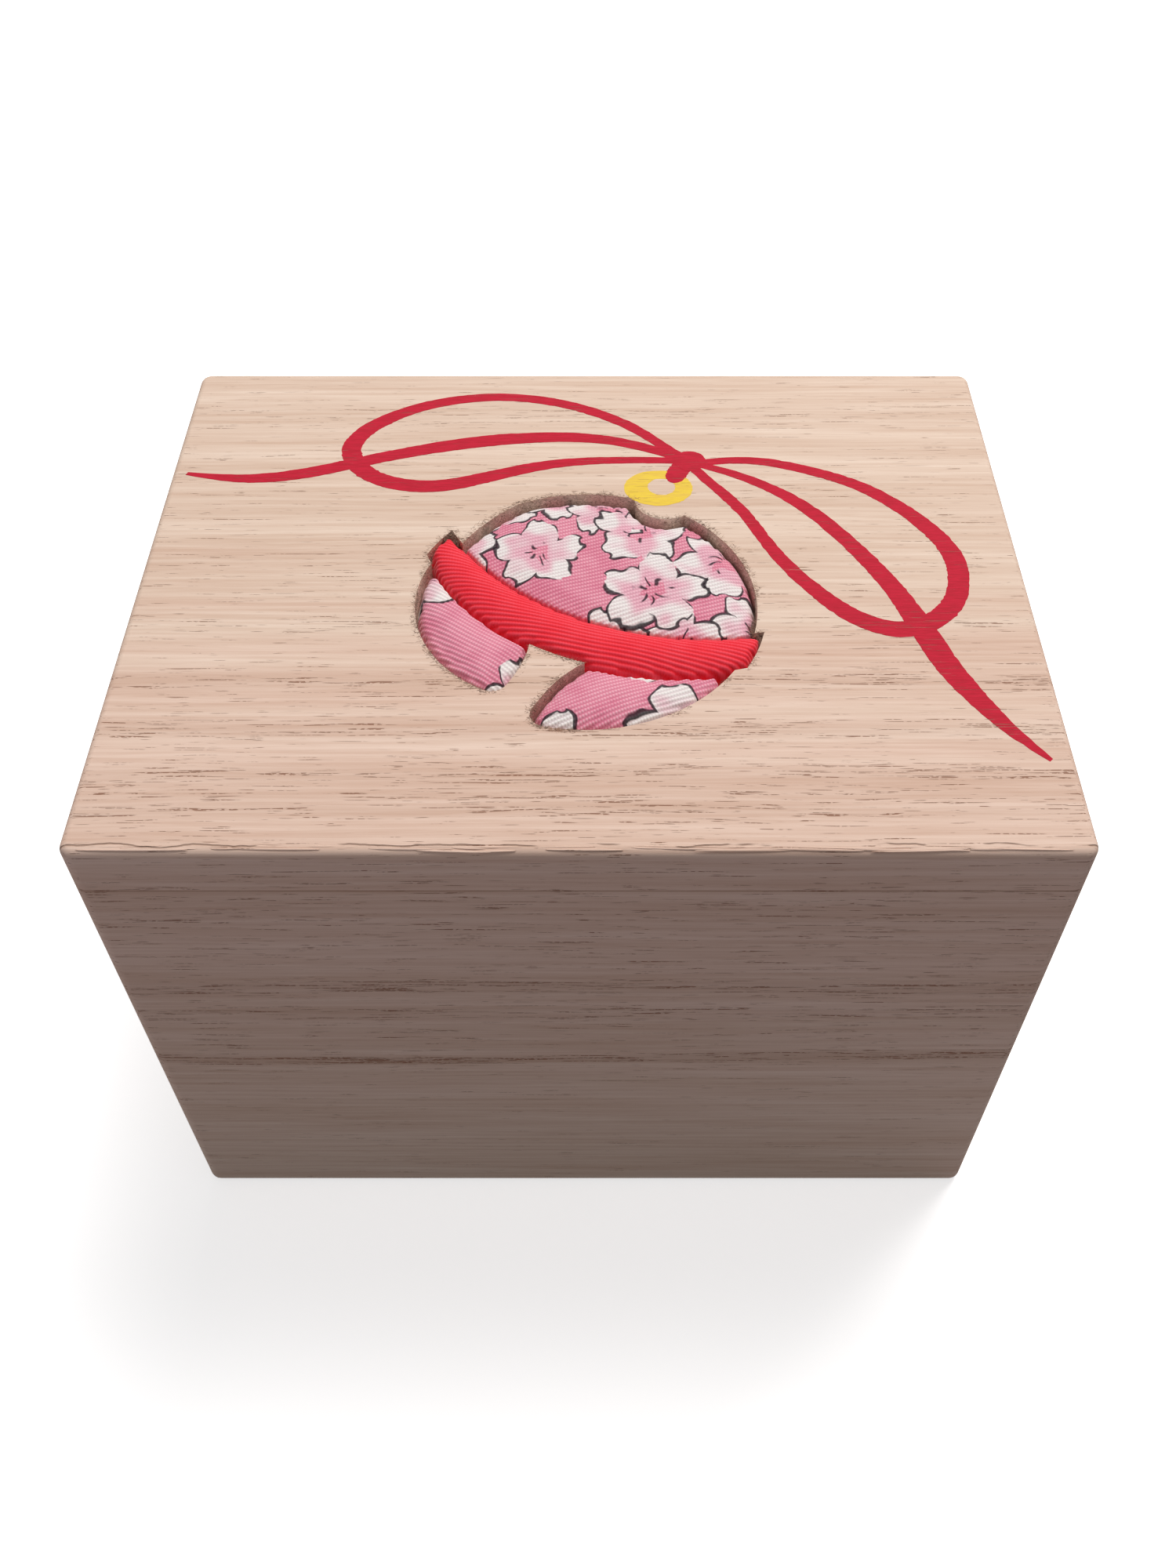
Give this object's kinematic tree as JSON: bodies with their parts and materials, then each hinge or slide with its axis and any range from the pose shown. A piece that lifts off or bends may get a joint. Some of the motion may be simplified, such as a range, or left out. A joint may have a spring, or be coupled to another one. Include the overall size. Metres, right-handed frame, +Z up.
{
  "type": "wooden keepsake box",
  "caption": "Rectangular pale wooden keepsake box with a flush battened lift-off lid; a recess in the lid holds a padded crepe bell inlay below a printed cord bow.",
  "frame": {"origin": "middle of the underside, on the surface that the box stands on", "axes": "+X to the right along the long side, +Y to the back, +Z up; the front face with the plain board looks along -Y"},
  "size_m": [0.09, 0.071, 0.0654],
  "materials": {
    "wall_wood": "bare planed paulownia, fine brown pore lines along the grain",
    "bottom_wood": "bare planed paulownia",
    "lid_wood": "bare planed paulownia, fine brown pore lines along the grain",
    "batten_wood": "bare planed paulownia",
    "peg_wood": "bare hardwood",
    "pad_core": "pressed felt pad",
    "blossom_crepe": "ribbed crepe printed with outlined blossoms",
    "red_crepe": "ribbed crepe",
    "cord_print": "matt printed ink",
    "ring_print": "matt printed ink"
  },
  "bodies": {
    "box": {"front_wall": "wall_wood", "back_wall": "wall_wood", "left_wall": "wall_wood", "right_wall": "wall_wood", "bottom_board": "bottom_wood"},
    "lid": {"lid_board": "lid_wood", "lid_batten_left": "batten_wood", "lid_batten_right": "batten_wood", "batten_pegs": "peg_wood", "upper_pad_core": "pad_core", "upper_fabric": "blossom_crepe", "lower_left_pad_core": "pad_core", "lower_left_fabric": "blossom_crepe", "lower_right_pad_core": "pad_core", "lower_right_fabric": "blossom_crepe", "band_pad_core": "pad_core", "band_fabric": "red_crepe"}
  },
  "joints": [
    {"name": "lid_lift", "type": "slide", "parent": "box", "child": "lid", "axis": [0, 0, 1], "range_m": [0, 0.08]}
  ]
}
